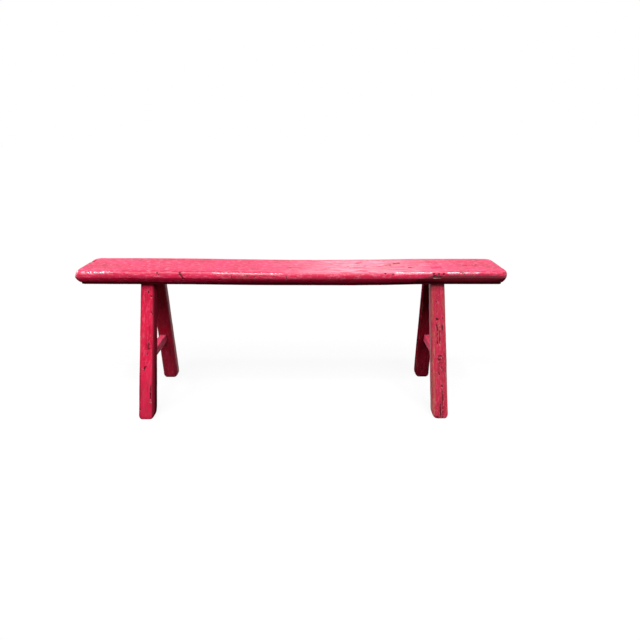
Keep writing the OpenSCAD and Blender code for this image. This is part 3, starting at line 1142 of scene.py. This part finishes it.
def paint_colour(n, grain, worn, finish):
    """The paint's colour with its wandering, streaks, specks, grime and painted shade, painted glints
    round chips, and broken places.
    """
    faded = n.stored("faded")
    flaked = n.scaled(n.stored("rubbed"), 0.2, grain.threads)
    wood = n.mix(n.step(grain.threads, 0.4, 0.6), WOOD_DARK, WOOD_LIGHT)
    core = n.mix(n.step(grain.mottle, 0.42, 0.6), CHIP_DARK, CHIP_RED)
    hole = n.mix(n.step(flaked, 0.58, 0.66), HOLE, FIBRE)
    # From the lowest up: where each layer lies, how strong it is there, and its colour
    layers = [
        (n.step(grain.broad, 0.25, 0.62), 1, finish.bright),
        (n.step(grain.streaks, 0.5, 0.74), 0.3 + 0.35 * finish.streaks, finish.deep),
        (n.step(grain.mottle, 0.51, 0.62), finish.mottled, SPECK),
        (n.step(grain.mottle, 0.48, 0.37), finish.mottled, finish.deep),
        (n.step(grain.streaks, 0.3, 0.6), faded, PALE),
        (n.step(grain.streaks, 0.56, 0.7), faded, CHALK),
        (n.step(grain.strokes, 0.58, 0.67), n.maths("MULTIPLY", faded, 0.9), finish.deep),
        (worn.thin, 0.65, wood),
        (grain.rings, 0.5, DARK_LINE),
        (worn.split, 0.4 + 0.4 * finish.streaks, DARK_LINE),
        (worn.pitted, 0.75, DARK_LINE),
        # Grime, and painted shade where the stored numbers stand for shade
        (worn.dirty, 0.85, DIRT_AND_SHADE),
        # Painted glints round chips
        (worn.rim, 0.8, CHIP_GLINT),
        (worn.chipped, 1, core),
        (worn.gouged, 1, hole),
    ]
    base = finish.deep
    for place, strength, layer in layers:
        base = n.mix(n.maths("MULTIPLY", place, strength), base, layer)
    return base


def paint_roughness(n, grain, worn, finish):
    """How rough the surface is: smoothest where it is polished, roughest where it is bare."""
    bare = n.maths("MAXIMUM", worn.chipped, n.maths("MAXIMUM", worn.gouged, worn.thin))
    rough = n.scaled(bare, 0.3, n.scaled(grain.mottle, 0.22, finish.rough - 0.11))
    return n.maths("MULTIPLY", rough, n.scaled(n.stored("polished"), -0.72, 1.0), clamp=True)


def paint_relief(n, grain, worn):
    """The normal over the paint's ridges, lumps, pits and broken places."""
    height = n.maths("MULTIPLY", grain.streaks, 0.4)
    height = n.scaled(grain.mottle, 0.8, height)
    height = n.scaled(worn.pitted, -0.35, height)
    height = n.scaled(worn.split, -0.25, height)
    height = n.scaled(n.maths("MAXIMUM", worn.chipped, worn.gouged), -0.7, height)
    return n.add("Bump", {"Strength": 0.7, "Distance": 0.9 * MM, "Height": height}).outputs[0]


def paint(finish):
    """Thick paint on old wood, streaked along the grain, worn at the arrises and chipped."""
    material = bpy.data.materials.new(finish.name)
    n = Nodes(material)
    grain = grain_noises(n, finish.seed, finish.fine)
    worn = worn_places(n, grain, finish)
    shader = n.add("BsdfPrincipled", {
        "Base Color": paint_colour(n, grain, worn, finish),
        "Roughness": paint_roughness(n, grain, worn, finish),
        "Specular IOR Level": finish.gloss,
        "Normal": paint_relief(n, grain, worn),
    })
    n.add("OutputMaterial", {"Surface": shader.outputs[0]})
    return material


# The studio

# How much light the background gives
AMBIENT = 0.03
# The floor: how much of it takes shadow, what it throws back, the colours it shows, and its size
FLOOR_SHADOW_SHARE = 0.1
FLOOR_BOUNCE = (0.03, 0.03, 0.03, 1)
WHITE = (1, 1, 1, 1)
PALE_GREY = (0.8, 0.8, 0.8, 1)
FLOOR_SIZE = 60

# Each light's bearing from the front, elevation and spread in degrees, and its strength
LIGHTS = {
    "left_key_light": (-25, 50, 20, 0.34),
    "right_key_light": (25, 50, 20, 0.37),
    "front_light": (0, 36, 25, 0.17),
    "glint_light": (0, 66, 5, 0.26),
    "left_glint_light": (-46, 56, 7, 0.17),
    "right_glint_light": (31, 66, 5, 0.14),
    "left_high_light": (-100, 42, 25, 0.04),
    "right_high_light": (100, 42, 25, 0.04),
    "back_light": (180, 62, 25, 0.11),
    "left_light": (-120, 15, 25, 0.35),
    "right_light": (120, 15, 25, 0.03),
}

# Where the photograph was taken from, and how the camera was held
CAMERA_PLACE = (62.9 * MM, -1580.1 * MM, 914.8 * MM)
CAMERA_YAW = 0.0168
CAMERA_PITCH = 0.3719
CAMERA_ROLL = -0.0061
CAMERA_LENS = 27
CAMERA_SENSOR = 36


def seen_rays(n):
    """1 for the rays that show the background: camera, mirror and glass rays."""
    path = n.add("LightPath").outputs
    seen = n.maths("ADD", path["Is Camera Ray"], path["Is Glossy Ray"])
    return n.maths("ADD", seen, path["Is Transmission Ray"], clamp=True)


def white_world():
    """A white background that gives the bench only a little light."""
    world = bpy.data.worlds.new("studio")
    bpy.context.scene.world = world
    n = Nodes(world)
    strength = n.scaled(seen_rays(n), 1 - AMBIENT, AMBIENT)
    background = n.add("Background", {"Color": WHITE, "Strength": strength})
    n.add("OutputWorld", {"Surface": background.outputs[0]})


def pale_floor():
    """A floor that looks white, keeps a faint shadow, and throws little red or white light back."""
    corners = rectangle(FLOOR_SIZE / 2, FLOOR_SIZE / 2)
    floor = new_object("floor", [(x, y, 0) for x, y in corners], [[0, 1, 2, 3]])
    material = bpy.data.materials.new("floor")
    n = Nodes(material)
    white = n.add("Emission", {"Color": WHITE, "Strength": 1.0}).outputs[0]
    shaded = n.add("BsdfDiffuse", {"Color": PALE_GREY}).outputs[0]
    shown = n.add("MixShader", {0: FLOOR_SHADOW_SHARE, 1: white, 2: shaded}).outputs[0]
    dim = n.add("BsdfDiffuse", {"Color": FLOOR_BOUNCE}).outputs[0]
    surface = n.add("MixShader", {0: seen_rays(n), 1: dim, 2: shown}).outputs[0]
    n.add("OutputMaterial", {"Surface": surface})
    floor.data.materials.append(material)


def even_light(name, bearing, elevation, spread, strength):
    """Even light from a bearing, where a strength of 1 shows a facing colour as it is written."""
    lamp = bpy.data.lights.new(name, "SUN")
    lamp.angle = math.radians(spread)
    lamp.energy = strength * math.pi
    turn, rise = math.radians(bearing), math.radians(elevation)
    across = math.cos(rise)
    towards = Vector((across * math.sin(turn), -across * math.cos(turn), math.sin(rise)))
    in_scene(name, lamp).rotation_euler = towards.to_track_quat("Z", "Y").to_euler()


def camera():
    """The camera at the photograph's place, with its view."""
    data = bpy.data.cameras.new("camera")
    data.lens = CAMERA_LENS
    data.sensor_width = CAMERA_SENSOR
    obj = in_scene("camera", data)
    turned = Euler((math.pi / 2 - CAMERA_PITCH, 0, -CAMERA_YAW)).to_matrix().to_4x4()
    rolled = Matrix.Rotation(-CAMERA_ROLL, 4, "Z")
    obj.matrix_world = Matrix.Translation(CAMERA_PLACE) @ turned @ rolled
    bpy.context.scene.camera = obj


def studio():
    """The background, the floor, the lights and the camera."""
    bpy.context.scene.view_settings.view_transform = "Standard"
    white_world()
    pale_floor()
    for name, settings in LIGHTS.items():
        even_light(name, *settings)
    camera()


def put_leg(corner, leg_paint, tenon_paint):
    """A leg and the two wedges driven into it, painted over with what lies round them."""
    name = "_".join(corner)
    side_y, side_x = (SIGN[word] for word in corner)
    seed = LEG_SEEDS[corner]
    put_on_bench(worn_leg(corner, seed), "leg_" + name, "leg_paint", leg_paint, tenon_paint)
    points, faces = leg_wedge(side_x, side_y)
    wedge = new_object("worn_leg_wedge_" + name, points, faces)
    mark_points(wedge, grain=points)
    put_on_bench(wedge, "leg_wedge_" + name, "wedge_paint", tenon_paint)
    points, faces = stretcher_wedge(side_x, side_y)
    wedge = new_object("worn_stretcher_wedge_" + name, points, faces, side_y > 0)
    mark_points(wedge, grain=leg_grain(points, side_x, side_y, seed))
    put_on_bench(wedge, "stretcher_wedge_" + name, "wedge_paint", leg_paint)


def bench():
    """Every piece of the bench, on its body and standing for its solid."""
    seat_paint = paint(SEAT_FINISH)
    edge_finishes = (SEAT_EDGE_FINISH, SEAT_SHADED_LOW_FINISH, SEAT_POLISHED_FINISH)
    edge_paints = [paint(finish) for finish in edge_finishes]
    put_on_bench(worn_plank(), "seat_plank", "seat_paint", seat_paint, *edge_paints)
    tenon_paints = dict.fromkeys(CORNERS, seat_paint)
    tenon_paints["front", "right"] = paint(BARE_TENON_FINISH)
    leg_paints = {corner: paint(finish) for corner, finish in LEG_FINISHES.items()}
    for corner in CORNERS:
        put_leg(corner, leg_paints[corner], tenon_paints[corner])
    for side, finish in STRETCHER_FINISHES.items():
        end_paints = [leg_paints[depth, side] for depth in ("front", "back")]
        stretcher = worn_stretcher(side, finish.seed)
        put_on_bench(stretcher, "stretcher_" + side, "stretcher_paint", paint(finish), *end_paints)


studio()
bench()
